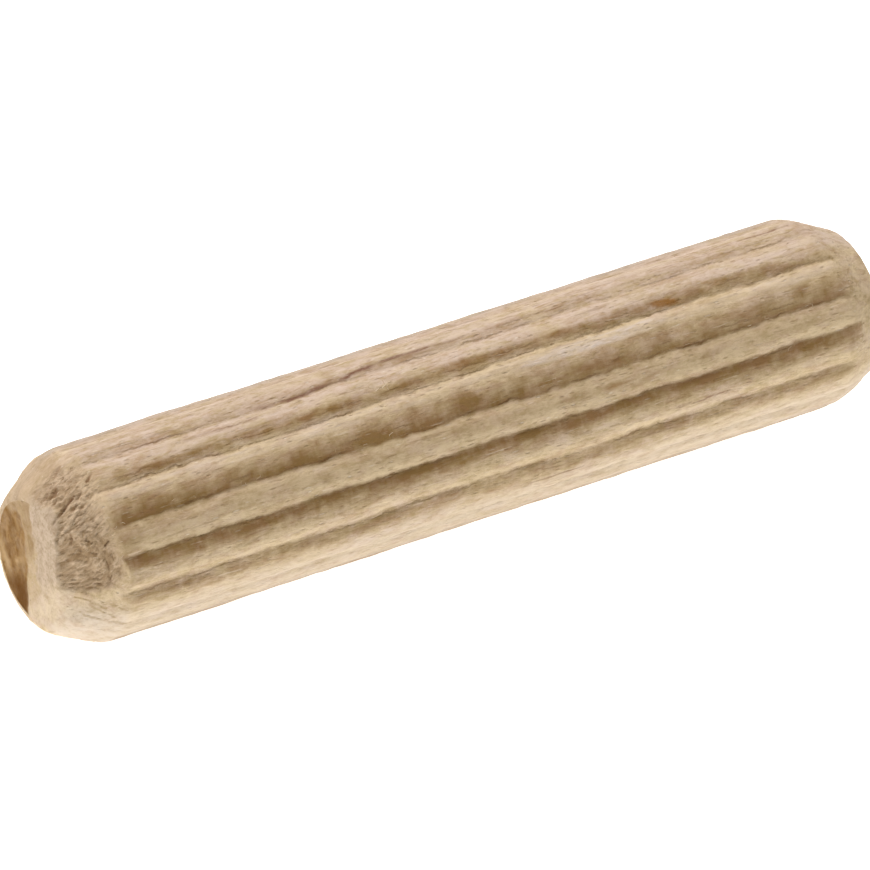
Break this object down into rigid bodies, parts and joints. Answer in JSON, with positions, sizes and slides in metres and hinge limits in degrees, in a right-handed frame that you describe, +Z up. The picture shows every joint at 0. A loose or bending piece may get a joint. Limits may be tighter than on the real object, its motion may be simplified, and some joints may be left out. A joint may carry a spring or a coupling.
{
  "type": "dowel pin",
  "caption": "Fluted wooden dowel pin with rounded lengthwise ridges and chamfered ends, for glued joints between boards.",
  "frame": {"origin": "on the pin's axis at mid-length, which is also the centre of its bounding box", "axes": "+X along the pin's axis towards the far end, +Z up as the pin lies, through a valley between two ridges"},
  "size_m": [0.04, 0.0082, 0.0082],
  "materials": {
    "wood": "matte"
  },
  "bodies": {
    "root": {"dowel_pin": "wood"}
  },
  "joints": []
}
